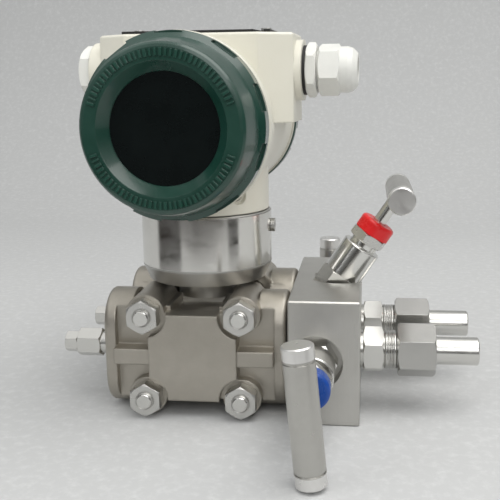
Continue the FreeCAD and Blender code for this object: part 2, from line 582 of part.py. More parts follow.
def tube_fitting(name, side):
    place = ("block_width / 2", f"{side} * port_y", "port_height")
    adapter = Piece(f"{name}_adapter", place)
    foot = "-adapter_spigot_length"
    neck = "adapter_collar + adapter_hex"
    hex_bar(adapter, "adapter_key", "adapter_collar", neck, axis="x", phase="90 + fitting_phase")
    spigot = "adapter_spigot_radius"
    collar = "adapter_neck_radius + fit_gap"
    adapter.turned([("0", foot), (spigot, foot), (spigot, "0"), (collar, "0"), (collar, "adapter_collar"),
                    ("adapter_neck_radius", "adapter_collar"), ("adapter_neck_radius", "adapter_end"),
                    ("0", "adapter_end")], axis="x")
    adapter.drill("port_radius", "adapter_end + adapter_spigot_length", (foot, "0", "0"), "+x")
    nipple = Piece(f"{name}_weld_nipple", place)
    shoulder, tip = "union_end - union_wall", "nipple_end - block_width / 2"
    land = "union_end + nipple_land"
    nipple.turned([("nipple_bore", "adapter_end"), ("nipple_collar", "adapter_end"),
                   ("nipple_collar", shoulder),
                   ("nipple_guide", shoulder), ("nipple_guide", land), ("nipple_radius", land),
                   ("nipple_radius", f"{tip} - small_chamfer"),
                   ("nipple_radius - small_chamfer", tip), ("nipple_bore", tip)], axis="x")
    nut = Piece("union_nut", place, keep=False)
    hex_bar(nut, "union_key", "union_start", "union_end", axis="x", phase="90 - fitting_phase")
    nut.drill("adapter_neck_radius + fit_gap", "union_length - union_wall", ("union_start", "0", "0"), "+x")
    nut.drill("nipple_guide + fit_gap", "union_length", ("union_start", "0", "0"), "+x")
    return nut


# ---- needle valves ----

VALVES = {
    "front": {"seat": ("-valve_offset", "pocket_depth - block_depth / 2", "valve_height"),
              "out": ("0", "-1", "0"), "turn": ALONG["-y"], "lift": "open_lift",
              "lean": ((0, 1, 0), "handle_lean")},
    "rear": {"seat": ("-valve_offset", "block_depth / 2 - pocket_depth", "valve_height"),
             "out": ("0", "1", "0"), "turn": ALONG["+y"], "lift": "open_lift", "lean": None},
    "equalizing": {"seat": ("tilted_seat_x", "0", "tilted_seat_z"),
                   "out": ("sin(valve_tilt)", "0", "cos(valve_tilt)"), "turn": ((0, 1, 0), "valve_tilt"),
                   "lift": "0", "lean": None},
}


def valve_place(way, distance):
    """Point on a valve's axis, a distance out from its pocket's floor."""
    return tuple(f"{seat} + ({distance}) * {out}" for seat, out in zip(way["seat"], way["out"]))


def bonnet(name, way):
    piece = Piece(f"{name}_bonnet", way["seat"], way["turn"])
    hex_bar(piece, "bonnet_key", "0", "bonnet_hex", ends=("high",))
    foot = "-spigot_length"
    piece.turned([("0", foot), ("spigot_radius", foot), ("spigot_radius", "bonnet_hex"),
                  ("bonnet_radius", "bonnet_hex"), ("bonnet_radius", "bonnet_length - small_chamfer"),
                  ("bonnet_radius - small_chamfer", "bonnet_length"), ("bonnet_neck_radius", "bonnet_length"),
                  ("bonnet_neck_radius", "bonnet_top"), ("0", "bonnet_top")])
    chamber, stem = "screw_radius + moving_gap", "valve_stem_radius + moving_gap"
    piece.turned([("0", f"{foot} - 1"), (chamber, f"{foot} - 1"), (chamber, "screw_chamber"),
                  (stem, "screw_chamber"),
                  (stem, "packing_start"), ("packing_bore", "packing_start"),
                  ("packing_bore", "bonnet_top + 1"),
                  ("0", "bonnet_top + 1")], cut=True)


def packing_and_nut(way):
    """Sealing ring round the stem and the hexagon nut whose spigot presses on it."""
    ring = Piece("packing", way["seat"], way["turn"], keep=False)
    outer, top = "packing_bore - fit_gap", "packing_start + packing_length"
    bore = "valve_stem_radius + fit_gap"
    ring.turned([(bore, "packing_start"), (outer, "packing_start"), (outer, top), (bore, top)])
    nut = Piece("packing_nut", way["seat"], way["turn"], keep=False)
    hex_bar(nut, "packing_key", "bonnet_top", "cap_foot", phase="15")
    nut.rod(outer, f"bonnet_top - ({top}) + 1", ("0", "0", top))
    nut.drill("valve_stem_radius + moving_gap", "cap_foot", ("0", "0", f"{top} - 1"))
    return ring, nut


def dust_cap(name, way):
    cap = Piece(f"{name}_dust_cap", way["seat"], way["turn"])
    cap.rod("cap_radius", "cap_height", ("0", "0", "cap_foot"))
    cap.dress("Fillet", "cap_round", lambda edge: edge.BoundBox.ZMin > value("cap_foot + cap_height / 2")
              and len(edge.Vertexes) == 1)
    cap.drill("valve_stem_radius + moving_gap", "cap_height + 2", ("0", "0", "cap_foot - 1"))


def spindle_and_tip(name, way):
    """Screwed spindle, and the needle that hangs in its foot without turning."""
    lift = way["lift"]
    spindle = Piece(f"{name}_spindle", way["seat"], way["turn"])
    foot, shoulder, top = f"{lift} - screw_foot", f"{lift} - screw_foot + screw_length", \
        f"{lift} + handle_height + handle_bite"
    spindle.turned([("0", foot), ("screw_radius - small_chamfer", foot),
                    ("screw_radius", f"{foot} + small_chamfer"),
                    ("screw_radius", shoulder), ("valve_stem_radius", shoulder), ("valve_stem_radius", top),
                    ("0", top)])
    spindle.drill("tip_shank_radius + moving_gap", "tip_shank + moving_gap", ("0", "0", foot))
    tip = Piece(f"{name}_needle_tip", way["seat"], way["turn"])
    head, point = f"{foot} - moving_gap", f"{foot} - moving_gap - tip_length"
    tip.turned([("0", point), ("tip_flat", point), ("tip_radius", f"{point} + tip_point"),
                ("tip_radius", head),
                ("tip_shank_radius", head), ("tip_shank_radius", f"{head} + tip_shank"),
                ("0", f"{head} + tip_shank")])


def handle(name, way):
    """Round cross bar with a groove near each end, bored for the spindle."""
    piece = Piece(f"{name}_handle", way["seat"], way["turn"])
    height = f"handle_height + {way['lift']}"
    half, slot, low = "handle_length / 2", "handle_end", "handle_radius - handle_groove"
    right = [("0", half), ("handle_radius - small_chamfer", half),
             ("handle_radius", f"{half} - small_chamfer"),
             ("handle_radius", f"{half} - {slot}"), (low, f"{half} - {slot}"),
             (low, f"{half} - {slot} - 2 * handle_groove"), ("handle_radius",
                                                             f"{half} - {slot} - 2 * handle_groove")]
    left = [(radius, f"-({along})") for radius, along in reversed(right)]
    piece.turned(right + left, axis="y", shift=height, swing=way["lean"])
    piece.drill("valve_stem_radius + fit_gap", "handle_radius + handle_bite",
                ("0", "0", f"{height} - handle_radius"))


def needle_valves():
    packings, nuts = [], []
    for name, way in VALVES.items():
        bonnet(name, way)
        ring, nut = packing_and_nut(way)
        packings.append(ring)
        nuts.append(nut)
        dust_cap(name, way)
        spindle_and_tip(name, way)
        handle(name, way)
    group("valve_packings", packings)
    group("packing_nuts", nuts)


# ---- electronics housing ----

NECK = ("neck_x", "0", "0")
TURN = ((0, 0, -1), "housing_turn")


def housing():
    """Cast two-chamber housing: barrel, block-shaped top, conduit bosses and neck."""
    shell = Piece("housing", NECK, TURN)
    outline = [("top_half_length", "-top_end_depth"), ("top_half_length", "top_end_depth"),
               ("top_flat", "top_half_depth"), ("-top_flat", "top_half_depth"),
               ("-top_half_length", "top_end_depth"), ("-top_half_length", "-top_end_depth"),
               ("-top_flat", "-top_half_depth"), ("top_flat", "-top_half_depth")]
    shell.prism("XY", [lambda sketch: polygon(sketch, outline)], "barrel_height", "top_height")
    shell.dress("Chamfer", "top_edge", lambda edge: edge.BoundBox.ZMin > value("top_height") - 0.01)
    front, back = "-barrel_front", "barrel_back"
    shell.turned([("0", front), ("rim_radius - small_chamfer", front),
                  ("rim_radius", f"{front} + small_chamfer"),
                  ("rim_radius", f"{front} + rim_length"), ("barrel_radius",
                                                            f"{front} + rim_length + rim_slope"),
                  ("barrel_radius", f"{back} - back_rim_length"),
                  ("back_rim_radius", f"{back} - back_rim_length"),
                  ("back_rim_radius", back), ("0", back)], axis="y", shift="barrel_height")
    shell.rod("conduit_radius", "conduit_left + conduit_right", ("-conduit_left", "0", "conduit_height"),
              "+x")
    foot = "collar_top + neck_gap"
    shell.rod("housing_neck_radius", f"barrel_height - ({foot})", ("0", "0", foot))
    shell.drill("chamber_bore", "barrel_front - wall_front + 1", ("0", f"{front} - 1", "barrel_height"), "+y")
    shell.drill("chamber_bore", "barrel_back + wall_back + 1", ("0", "-wall_back", "barrel_height"), "+y")
    shell.drill("conduit_bore", "conduit_depth", ("conduit_right", "0", "conduit_height"), "-x")
    shell.drill("conduit_bore", "conduit_depth", ("-conduit_left", "0", "conduit_height"), "+x")
    shell.drill("tube_radius + moving_gap", f"neck_bore_height - ({foot}) + 1", ("0", "0", f"{foot} - 1"))
    housing_screw_holes(shell)


def housing_screw_holes(shell):
    """Button wells, plate screw holes and the recessed hole of the set screw in the neck."""
    for side in (-1, 1):
        button, screw = f"{side} * button_offset", f"{side} * plate_screw_offset"
        shell.drill("button_head_radius + moving_gap", "button_head_height + button_travel + moving_gap",
                    (button, "0", "top_height"), "-z")
        shell.drill("button_stem_radius + moving_gap", "top_height - barrel_height",
                    (button, "0", "top_height"), "-z")
        shell.drill("plate_screw_radius + fit_gap", "plate_screw_depth", (screw, "0", "top_height"), "-z")
    hole, step = "set_radius + fit_gap", "housing_neck_radius - set_recess_depth"
    outside = "housing_neck_radius + 1"
    shell.turned([("0", "tube_radius"), (hole, "tube_radius"), (hole, step), ("set_recess", step),
                  ("set_recess", outside), ("0", outside)],
                 axis="level", shift="set_height", swing=((0, 0, -1), "90 - set_angle"), cut=True)


def set_screw():
    screw = Piece("set_screw", ("neck_x", "0", "set_height"), ((0, 0, -1), "90 - set_angle + housing_turn"))
    near = "tube_radius + moving_gap"
    far = f"{near} + set_length"
    screw.turned([("0", near), ("set_radius - small_chamfer", near),
                  ("set_radius", f"{near} + small_chamfer"),
                  ("set_radius", far), ("0", far)], axis="x")
    screw.prism("YZ", [hexagon("set_key")], f"{far} - set_key", far, cut=True)


def display_module():
    """Round display on its board and post, facing the window."""
    module = Piece("display_module", NECK, TURN)
    front = "-wall_front - display_depth"
    board = "-wall_front - post_length"
    bezel = f"{front} + display_bezel"
    module.turned([("0", "-wall_front"), ("post_radius", "-wall_front"), ("post_radius", board),
                   ("board_disc", board), ("board_disc", f"{board} - board_thickness"),
                   ("board_radius", f"{board} - board_thickness"), ("board_radius", bezel),
                   ("display_radius", bezel), ("display_radius", front), ("0", front)],
                  axis="y", shift="barrel_height")
    across, up = "screen_width / 2", "screen_height / 2"
    module.prism("XZ", [box(f"-{across}", across, f"-{up}", up)], "wall_front + display_depth - screen_sink",
                 "wall_front + display_depth + 1", cut=True, rise="barrel_height")


def terminal_block():
    """Moulded block on the dividing wall with a stepped edge and three clamp screws."""
    block = Piece("terminal_block", NECK, TURN)
    half, up, back = "terminal_length / 2", "terminal_height / 2", "terminal_depth - wall_back"
    block.prism("XZ", [box(f"-{half}", half, f"-{up}", up)], f"-({back})", "wall_back",
                rise="terminal_centre")
    block.prism("XZ", [box(f"-{half} - 1", f"{half} + 1", f"-{up} - 1", f"-{up} + terminal_step")],
                f"-({back}) - 1", f"-({back}) + terminal_step", cut=True, rise="terminal_centre")
    for i in (-1, 0, 1):
        block.drill("terminal_screw_radius", "terminal_step", (f"{i} * terminal_pitch",
                                                               f"{back} - terminal_step",
                                                               "terminal_centre + terminal_step / 2"), "+y")


def top_plate_and_gasket():
    """Thin cover over the buttons. It swings on one screw, and its slot flares to clear the other."""
    half, deep = "plate_length / 2", "plate_width / 2"
    gasket = Piece("top_gasket", NECK, TURN)
    gasket.prism("XY", [box(f"-{half}", half, f"-{deep}", deep)], "top_height", "top_height + gasket_sheet")
    plate = Piece("top_plate", NECK, TURN)
    plate.prism("XY", [box(f"-{half}", half, f"-{deep}", deep)], "plate_foot", "plate_top")
    upright = value("gasket_sheet") - 0.01
    for sheet in (gasket, plate):
        sheet.dress("Fillet", "plate_corner", lambda edge: edge.BoundBox.ZLength > upright)
    for side in (-1, 1):
        gasket.drill("button_window", "gasket_sheet + 2", (f"{side} * button_offset", "0", "top_height - 1"))
        gasket.drill("plate_screw_radius + fit_gap", "gasket_sheet + 2",
                     (f"{side} * plate_screw_offset", "0", "top_height - 1"))
    hole = "plate_screw_radius + moving_gap"
    for x in ("-plate_screw_offset", "plate_screw_offset"):
        plate.drill(hole, "plate_sheet + 2", (x, "0", "plate_foot - 1"))
    inner, outer = f"plate_screw_offset - ({hole})", f"plate_screw_offset + {hole}"
    flare = f"2 * plate_screw_offset - sqrt((2 * plate_screw_offset) ^ 2 - ({deep} + 1) ^ 2)"
    slot = [(inner, "0"), (f"{inner} - ({flare})", f"-{deep} - 1"), (outer, f"-{deep} - 1"), (outer, "0")]
    plate.prism("XY", [lambda sketch: polygon(sketch, slot)], "plate_foot - 1", "plate_top + 1", cut=True)


def top_screws():
    screws = []
    for side in (-1, 1):
        screw = Piece("top_screw", NECK, TURN, keep=False)
        x = f"{side} * plate_screw_offset"
        foot = "top_height - plate_screw_depth"
        screw.rod("plate_screw_radius", f"screw_seat - ({foot})", (x, "0", foot))
        screw.rod("plate_screw_head", "plate_screw_head_height", (x, "0", "screw_seat"))
        slot = "plate_screw_slot / 2"
        screw.prism("XY", [box(f"{x} - {slot}", f"{x} + {slot}", "-plate_screw_head - 1",
                               "plate_screw_head + 1")],
                    "screw_seat + plate_screw_head_height / 2", "screw_seat + plate_screw_head_height + 1",
                    cut=True)
        screws.append(screw)
    group("top_screws", screws)


def button(label, side):
    """Sprung push button that stands in its well flush with the housing's top."""
    piece = Piece(label, NECK, TURN)
    x = f"{side} * button_offset"
    piece.rod("button_head_radius", "button_head_height", (x, "0", "button_foot"))
    piece.rod("button_stem_radius", "button_length", (x, "0", "button_foot"), "-z")


# ---- conduit plug and cable gland ----

def conduit_plug():
    plug = Piece("conduit_plug", NECK, TURN)
    face, collar = "-conduit_left", "-conduit_left - plug_collar"
    place = dict(axis="x", shift="conduit_height")
    key_end = f"{collar} - plug_hex"
    plug.prism("YZ", [hexagon("plug_key", "30")], key_end, collar, rise="conduit_height")
    for outline in corner_cut("plug_key", key_end, collar, ("low",)):
        plug.turned(outline, cut=True, **place)
    thread = f"{face} + entry_thread_length"
    plug.turned([("0", f"{collar} - 1"), ("plug_collar_radius", f"{collar} - 1"),
                 ("plug_collar_radius", face),
                 ("entry_thread", face), ("entry_thread", thread), ("0", thread)], **place)


def cable_gland():
    """Sealing washer, gland body, rubber cable seal and domed nut, in order outward."""
    place = dict(axis="x", shift="conduit_height")
    washer = Piece("gland_washer", NECK, TURN)
    washer.turned([("conduit_bore", "conduit_right"), ("washer_radius", "conduit_right"),
                   ("washer_radius", "washer_face"), ("conduit_bore", "washer_face")], **place)
    gland_body(place)
    seal = Piece("gland_seal", NECK, TURN)
    seal.turned([("cable_radius", "cable_seal_foot"), ("cable_seal_radius", "cable_seal_foot"),
                 ("cable_seal_radius", "cable_seal_end"), ("cable_radius", "cable_seal_end")], **place)
    gland_nut(place)


def gland_body(place):
    body = Piece("gland_body", NECK, TURN)
    body.prism("YZ", [hexagon("gland_key", "30")], "washer_face", "gland_shoulder", rise="conduit_height")
    for outline in corner_cut("gland_key", "washer_face", "gland_shoulder", ("low", "high")):
        body.turned(outline, cut=True, **place)
    neck_end = "gland_shoulder + gland_neck_length"
    thread_end = "conduit_right - entry_thread_length"
    body.turned([("0", "gland_shoulder - 1"), ("gland_neck_radius", "gland_shoulder - 1"),
                 ("gland_neck_radius", neck_end), ("0", neck_end)], **place)
    body.turned([("0", thread_end), ("entry_thread", thread_end), ("entry_thread", "washer_face + 1"),
                 ("0", "washer_face + 1")], **place)
    body.drill("gland_bore", f"{neck_end} - ({thread_end}) + 2",
               (f"{thread_end} - 1", "0", "conduit_height"), "+x")
    body.drill("cable_seal_radius + moving_gap", "gland_neck_length",
               ("cable_seal_foot - moving_gap", "0", "conduit_height"), "+x")


def gland_nut(place):
    nut = Piece("gland_nut", NECK, TURN)
    hex_end, end = "gland_nut_foot + gland_nut_hex", "gland_nut_foot + gland_nut_length"
    nut.prism("YZ", [hexagon("gland_nut_key", "18")], "gland_nut_foot", hex_end, rise="conduit_height")
    for outline in corner_cut("gland_nut_key", "gland_nut_foot", hex_end, ("low", "high")):
        nut.turned(outline, cut=True, **place)
    dome = f"{end} - gland_dome"
    nut.turned([("0", f"{hex_end} - 1"), ("gland_nut_radius", f"{hex_end} - 1"), ("gland_nut_radius", dome),
                ("gland_nut_radius - gland_dome / 6", f"{dome} + gland_dome / 2"),
                ("gland_nut_radius - gland_dome / 2", f"{end} - gland_dome / 6"),
                ("gland_nut_radius - gland_dome / 2 - 1", end), ("0", end)], **place)
    bore = "gland_neck_radius + moving_gap"
    step = "gland_shoulder + gland_neck_length + moving_gap"
    seat = "cable_seal_end + moving_gap"
    nut.turned([("0", "gland_nut_foot - 1"), (bore, "gland_nut_foot - 1"), (bore, step),
                ("cable_seal_radius + moving_gap", step), ("cable_seal_radius + moving_gap", seat),
                ("gland_mouth", seat), ("gland_mouth", f"{end} + 1"), ("0", f"{end} + 1")], cut=True, **place)


# ---- screwed covers ----

def notches(cover, side, plane, rim):
    """Finger notches round the cover's rim."""
    low, across = f"{rim} - notch_depth", f"{rim} * sin(notch_angle / 2)"
    near, far = f"{plane} + cover_rim - notch_length", f"{plane} + cover_rim + cover_step"
    if side == "1":
        near, far = f"-({far})", f"-({near})"
    first = cover.prism("XZ", [box(f"-({across})", across, low, f"{rim} + 1")], near, far,
                        cut=True, rise="barrel_height")
    cover.repeat_round(first, "notch_count")


def seal_groove(cover, plane, side):
    """Groove for the sealing ring in the face that meets the housing."""
    near, deep = f"{side} * ({plane} - 1)", f"{side} * ({plane} + groove_depth)"
    inner, outer = "ring_radius - groove_half_width", "ring_radius + groove_half_width"
    cover.turned([(inner, near), (outer, near), (outer, deep), (inner, deep)],
                 axis="y", shift="barrel_height", cut=True)


def cover_outline(plane, depth, side, rim):
    """Outer half of a cover's section, from the end of its skirt to its nose."""
    reach = [("skirt_radius", "-skirt_length"), ("skirt_radius", "0"), (f"{rim} - small_chamfer", "0"),
             (rim, "small_chamfer"), (rim, "cover_rim"),
             ("cover_radius", "cover_rim + cover_step"),
             ("cover_nose_radius", f"{depth} - cover_round"),
             ("cover_nose_radius - 0.13 * cover_round", f"{depth} - 0.5 * cover_round"),
             ("cover_nose_radius - 0.5 * cover_round", f"{depth} - 0.13 * cover_round"),
             ("cover_nose_radius - cover_round", depth)]
    return [(radius, f"{side} * ({plane} + {along})") for radius, along in reach]


def front_cover():
    """Screwed cover with a bevelled lip that the window lies behind."""
    cover = Piece("front_cover", NECK, TURN)
    lip = "front_plane + cover_depth - lip_depth"
    inner = [("bevel_radius", "-(front_plane + cover_depth)"), ("window_radius", f"-({lip})"),
             ("cover_bore", f"-({lip})"), ("cover_bore", "-front_plane + skirt_length")]
    outer = cover_outline("front_plane", "cover_depth", "-1", "cover_rim_radius")
    cover.turned(outer + inner, axis="y", shift="barrel_height")
    seal_groove(cover, "front_plane", "-1")
    notches(cover, "-1", "front_plane", "cover_rim_radius")
    glass = Piece("window_glass", NECK, TURN)
    rim = "cover_bore - fit_gap"
    glass_back = f"{lip} - glass_thickness"
    glass.turned([("0", f"-({lip})"), (rim, f"-({lip})"), (rim, f"-({glass_back})"),
                  ("0", f"-({glass_back})")],
                 axis="y", shift="barrel_height")
    ring = Piece("retainer_ring", NECK, TURN)
    ring_back, inside = f"{glass_back} - retainer_length", f"{rim} - retainer_width"
    ring.turned([(inside, f"-({glass_back})"), (rim, f"-({glass_back})"), (rim, f"-({ring_back})"),
                 (inside, f"-({ring_back})")], axis="y", shift="barrel_height")


def rear_cover():
    cover = Piece("rear_cover", NECK, TURN)
    floor = "back_plane + back_cover_depth - back_cover_floor"
    inner = [("0", "back_plane + back_cover_depth"), ("0", floor), ("cover_bore", floor),
             ("cover_bore", "back_plane - skirt_length")]
    outer = cover_outline("back_plane", "back_cover_depth", "1", "back_cover_rim_radius")
    cover.turned(outer + inner, axis="y", shift="barrel_height")
    seal_groove(cover, "back_plane", "1")
    notches(cover, "1", "back_plane", "back_cover_rim_radius")


def cover_seal(label, plane, side):
    """Round rubber ring in the cover's groove."""
    ring = DOC.addObject("Part::Torus", label)
    ring.Label = label
    ring.setExpression("Radius1", rule("ring_radius"))
    ring.setExpression("Radius2", rule("ring_thickness"))
    reach = f"{side} * ({plane} + groove_depth / 2)"
    place = (f"neck_x + ({reach}) * sin(housing_turn)", f"({reach}) * cos(housing_turn)", "barrel_height")
    bind_place(ring, "Placement", place, None)
    upright = FreeCAD.Rotation(FreeCAD.Vector(0, 0, -1), value("housing_turn"))
    flat = FreeCAD.Rotation(FreeCAD.Vector(1, 0, 0), 90)
    ring.Placement = FreeCAD.Placement(vector(place), upright * flat)
    NODES[label] = ring


# ---- build, check and write ----

def build():
    fill_sheet()
    manifold_block()
    bracket_screws()
    port_seals()
    sensor_body()
    nameplate_band()
    capsule_trim()
    process_flange("front_flange", None, "flange_half_length")
    process_flange("rear_flange", ((0, 0, 1), "180"), "-flange_half_length")
    flange_bolting()
    for name, side in SIDES.items():
        vent_valve(name, side)
    group("union_nuts", [tube_fitting(name, side) for name, side in SIDES.items()])
    needle_valves()
    housing()
    set_screw()
    display_module()
    terminal_block()
    top_plate_and_gasket()
    top_screws()
    button("zero_button", "1")
    button("span_button", "-1")
    conduit_plug()
    cable_gland()
    front_cover()
    rear_cover()
    cover_seal("front_seal", "front_plane", "-1")
    cover_seal("rear_seal", "back_plane", "1")
    DOC.recompute()


def check_features(body):
    """Every added feature adds volume to the one before it, and every cut takes some away."""
    for feature in body.Group:
        base = getattr(feature, "BaseFeature", None)
        if base is None or feature.TypeId in ("PartDesign::Fillet", "PartDesign::Chamfer"):
            continue
        gain = feature.Shape.Volume - base.Shape.Volume
        cuts = any(word in feature.TypeId for word in ("Pocket", "Groove", "Subtractive", "Pattern"))
        if abs(gain) < 1e-6 or (gain > 0) == cuts:
            raise RuntimeError(f"{body.Label}: {feature.Name} changes the volume by {gain}")


def check_and_write():
    for thing in DOC.Objects:
        if {"Invalid", "Error"} & set(thing.State):
            raise RuntimeError(f"{thing.Name} failed: {thing.State}")
        if thing.TypeId == "PartDesign::Body":
            check_features(thing)
    os.makedirs("parts", exist_ok=True)
    for label, node in NODES.items():
        if node.Shape.isNull() or not node.Shape.isValid():
            raise RuntimeError(f"{label} has no valid shape")
        node.Shape.exportStep(f"parts/{label}.step")


build()
check_and_write()
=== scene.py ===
import json
import math
import bpy
import numpy as np
from mathutils import Matrix, Vector


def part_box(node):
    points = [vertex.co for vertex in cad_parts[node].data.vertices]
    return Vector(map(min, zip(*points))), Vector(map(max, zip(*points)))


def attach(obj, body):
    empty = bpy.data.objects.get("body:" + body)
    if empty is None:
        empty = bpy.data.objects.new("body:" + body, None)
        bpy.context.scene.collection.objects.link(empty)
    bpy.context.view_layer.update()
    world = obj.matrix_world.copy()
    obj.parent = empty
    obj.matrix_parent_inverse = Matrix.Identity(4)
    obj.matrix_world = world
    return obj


# Dressed differential pressure transmitter on its three-valve manifold. Lengths are metres in the frame
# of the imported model: +X to the tubes, +Y to the back, +Z up, the block's underside at zero.

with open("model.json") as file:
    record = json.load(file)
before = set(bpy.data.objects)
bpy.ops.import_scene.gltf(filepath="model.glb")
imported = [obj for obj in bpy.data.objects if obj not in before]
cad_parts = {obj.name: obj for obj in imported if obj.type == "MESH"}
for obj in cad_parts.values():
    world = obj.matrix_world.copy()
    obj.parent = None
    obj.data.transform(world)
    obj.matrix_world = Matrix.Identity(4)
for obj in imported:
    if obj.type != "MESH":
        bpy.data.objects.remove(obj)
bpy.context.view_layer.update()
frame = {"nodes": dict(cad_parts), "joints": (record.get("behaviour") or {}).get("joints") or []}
NODES = frame["nodes"]
MM = 0.001
TURN = 2 * math.pi
END_NAMES = ("front", "rear")
VALVE_NAMES = ("front", "rear", "equalizing")


def middle(node):
    """Centre of a node's box at rest."""
    low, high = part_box(node)
    return (low + high) / 2


def joint(name):
    return next(item for item in frame["joints"] if item["name"] == name)


COVER_WAY = Vector(joint("front_cover_slide")["axis"])
NECK = Vector(joint("housing_swivel")["pos_m"])


# ---- material wiring ----

class Signal:
    """A socket of a material's node tree. A product with it adds a Math node."""

    def __init__(self, look, socket):
        self.look = look
        self.socket = socket

    def __mul__(self, other):
        return self.look.math("MULTIPLY", self, other)

    __rmul__ = __mul__

    def above(self, level, width):
        """0 below the level and 1 above it, with a soft step of the given width."""
        return self.look.ramp(self, level - width / 2, level + width / 2)


class Look:
    """One material: a Principled shader and the nodes that feed it."""

    def __init__(self, name, **constants):
        self.material = bpy.data.materials.new(name)
        self.material.use_nodes = True
        self.tree = self.material.node_tree
        self.shader = self.tree.nodes["Principled BSDF"]
        for word, constant in constants.items():
            self.shader.inputs[word.replace("_", " ").title()].default_value = constant
        self.material.diffuse_color = self.shader.inputs["Base Color"].default_value

    def node(self, kind, settings, inputs, output=0):
        """Add a node, set it up, fill or link its inputs and return one of its outputs."""
        made = self.tree.nodes.new(kind)
        for word, setting in settings.items():
            setattr(made, word, setting)
        for key, value in inputs.items():
            self.feed(made.inputs[key], value)
        return Signal(self, made.outputs[output])

    def feed(self, socket, value):
        if isinstance(value, Signal):
            self.tree.links.new(value.socket, socket)
        else:
            socket.default_value = value

    def math(self, operation, *values):
        return self.node("ShaderNodeMath", {"operation": operation}, dict(enumerate(values)))

    def set(self, word, value):
        """Give one of the shader's inputs a signal or a constant."""
        self.feed(self.shader.inputs[word], value)

    def point(self, centre=(0, 0, 0)):
        """Place on the surface, from a centre, in metres."""
        place = self.node("ShaderNodeTexCoord", {}, {}, "Object")
        return self.node("ShaderNodeVectorMath", {"operation": "SUBTRACT"}, {0: place, 1: centre})

    def stretched(self, place, scale):
        return self.node("ShaderNodeVectorMath", {"operation": "MULTIPLY"}, {0: place, 1: scale})

    def length(self, place):
        return self.node("ShaderNodeVectorMath", {"operation": "LENGTH"}, {0: place}, "Value")

    def noise(self, place, scale, detail=3.0, rough=0.55):
        return self.node("ShaderNodeTexNoise", {},
                         {"Vector": place, "Scale": scale, "Detail": detail, "Roughness": rough})

    def ramp(self, value, low, high, start=0.0, end=1.0):
        """Start at or below the low value, end at or above the high one, and a straight line between."""
        return self.node("ShaderNodeMapRange", {"clamp": True},
                         {"Value": value, "From Min": low, "From Max": high, "To Min": start, "To Max": end})

    def mix(self, share, first, second):
        """Colour between two colours."""
        return self.node("ShaderNodeMix", {"data_type": "RGBA", "clamp_factor": True},
                         {0: share, 6: first, 7: second}, 2)

    def edges(self, radius):
        """Normal that rounds every sharp edge by a radius."""
        return self.node("ShaderNodeBevel", {"samples": 4}, {"Radius": radius}, "Normal")

    def bump(self, height, distance, strength, normal=None):
        """Normal of a surface that a height raises, by the distance where the height is 1."""
        inputs = {"Height": height, "Distance": distance, "Strength": strength}
        if normal:
            inputs["Normal"] = normal
        return self.node("ShaderNodeBump", {}, inputs, "Normal")


def rgb(red, green, blue):
    return (red, green, blue, 1.0)


def tinted(colour, factor, most=1.0):
    """A colour with each part scaled, and none past a limit."""
    return rgb(*(min(factor * part, most) for part in colour))


# ---- materials ----

def brushed_block():
    """Stainless bar with upright brush marks and cloudy patches of shade."""
    look = Look("brushed_block", Base_Color=rgb(0.56, 0.55, 0.52), Metallic=1.0, Roughness=0.34)
    place = look.point()
    streaks = look.noise(look.stretched(place, (3200, 3200, 45)), scale=1.0, detail=2.0)
    clouds = look.noise(place, scale=38.0, detail=4.0)
    look.set("Base Color", look.mix(clouds, rgb(0.47, 0.46, 0.43), rgb(0.66, 0.65, 0.62)))
    look.set("Roughness", look.ramp(streaks, low=0.2, high=0.6, start=0.24, end=0.46))
    look.set("Normal", look.bump(streaks, 0.05 * MM, strength=0.35, normal=look.edges(0.7 * MM)))
    return look.material


def cast_steel():
    """Blasted stainless casting: cloudy shade and gloss, fine grain and rounded edges."""
    look = Look("cast_steel", Base_Color=rgb(0.42, 0.40, 0.36), Metallic=1.0, Roughness=0.42)
    place = look.point()
    clouds = look.noise(place, scale=55.0, detail=5.0, rough=0.6)
    grain = look.noise(place, scale=1900.0, detail=2.0)
    look.set("Base Color", look.mix(clouds, rgb(0.36, 0.335, 0.29), rgb(0.54, 0.51, 0.455)))
    look.set("Roughness", look.ramp(clouds, low=0.2, high=0.5, start=0.24, end=0.42))
    look.set("Normal", look.bump(grain * grain, 0.24 * MM, strength=0.5, normal=look.edges(1.6 * MM)))
    return look.material


def turned_steel(name, centre, tone=0.68, rough=0.2, edge=0.35 * MM):
    """Machined stainless: faint smears of shade and gloss, and crisp edges."""
    look = Look(name, Base_Color=rgb(tone, tone * 0.985, tone * 0.95), Metallic=1.0, Roughness=rough)
    smears = look.noise(look.point(centre), scale=60.0, detail=3.0)
    look.set("Base Color", look.mix(smears, rgb(tone * 0.93, tone * 0.92, tone * 0.88),
                                    rgb(tone * 1.05, tone * 1.04, tone * 1.0)))
    look.set("Roughness", look.ramp(smears, low=0.2, high=0.55, start=rough * 0.8, end=rough * 1.25))
    look.set("Normal", look.edges(edge))
    return look.material


def bar_steel(name, centre, bright_from):
    """Cross bar of a valve: satin as far as a distance from its centre, and brighter beyond it."""
    look = Look(name, Base_Color=rgb(0.66, 0.65, 0.62), Metallic=1.0, Roughness=0.3)
    place = look.point(centre)
    ends = look.length(place).above(bright_from, width=0.4 * MM)
    smears = look.noise(place, scale=120.0, detail=4.0)
    satin = look.mix(smears, rgb(0.46, 0.45, 0.42), rgb(0.58, 0.57, 0.54))
    look.set("Base Color", look.mix(ends, satin, rgb(0.80, 0.79, 0.77)))
    dullness = look.ramp(smears, low=0.3, high=0.7, start=0.36, end=0.46)
    look.set("Roughness", dullness * dullness * 2)
    grain = look.noise(place, scale=2600.0, detail=2.0)
    look.set("Normal", look.bump(grain * grain, 0.03 * MM, strength=0.35, normal=look.edges(0.5 * MM)))
    return look.material


